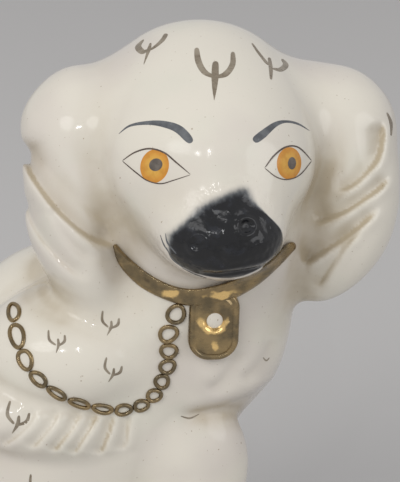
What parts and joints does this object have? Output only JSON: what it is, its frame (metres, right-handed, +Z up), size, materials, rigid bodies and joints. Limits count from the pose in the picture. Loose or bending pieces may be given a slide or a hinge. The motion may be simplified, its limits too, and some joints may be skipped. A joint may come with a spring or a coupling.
{
  "type": "ceramic dog figurine",
  "caption": "Seated mantel spaniel in white glazed earthenware, head turned to the front, with a gilded collar, padlock and chain and a painted face.",
  "frame": {"origin": "on the surface that the dog stands on, under the middle of the dog, on the underside of its closing slab", "axes": "+Z up; the dog sits in profile with its chest towards +X and its rump towards -X, and its face looks along -Y"},
  "size_m": [0.2431, 0.146, 0.322],
  "materials": {
    "white_glaze": "clear glossy lead glaze over white earthenware",
    "bare_earthenware": "unglazed biscuit",
    "gilding": "fired bright gold, mirror-like with brush marks",
    "black_enamel": "glossy black enamel",
    "amber_enamel": "glossy amber enamel"
  },
  "bodies": {
    "root": {"body_front_casting": "white_glaze", "body_back_casting": "white_glaze", "head_front_casting": "white_glaze", "head_back_casting": "white_glaze", "right_ear": "white_glaze", "left_ear": "white_glaze", "near_foreleg": "white_glaze", "far_foreleg": "white_glaze", "near_hind_paw": "white_glaze", "far_hind_paw": "white_glaze", "tail": "white_glaze", "closing_slab": "bare_earthenware", "collar_band": "gilding", "padlock": "gilding", "chain_links": "gilding"}
  },
  "joints": []
}
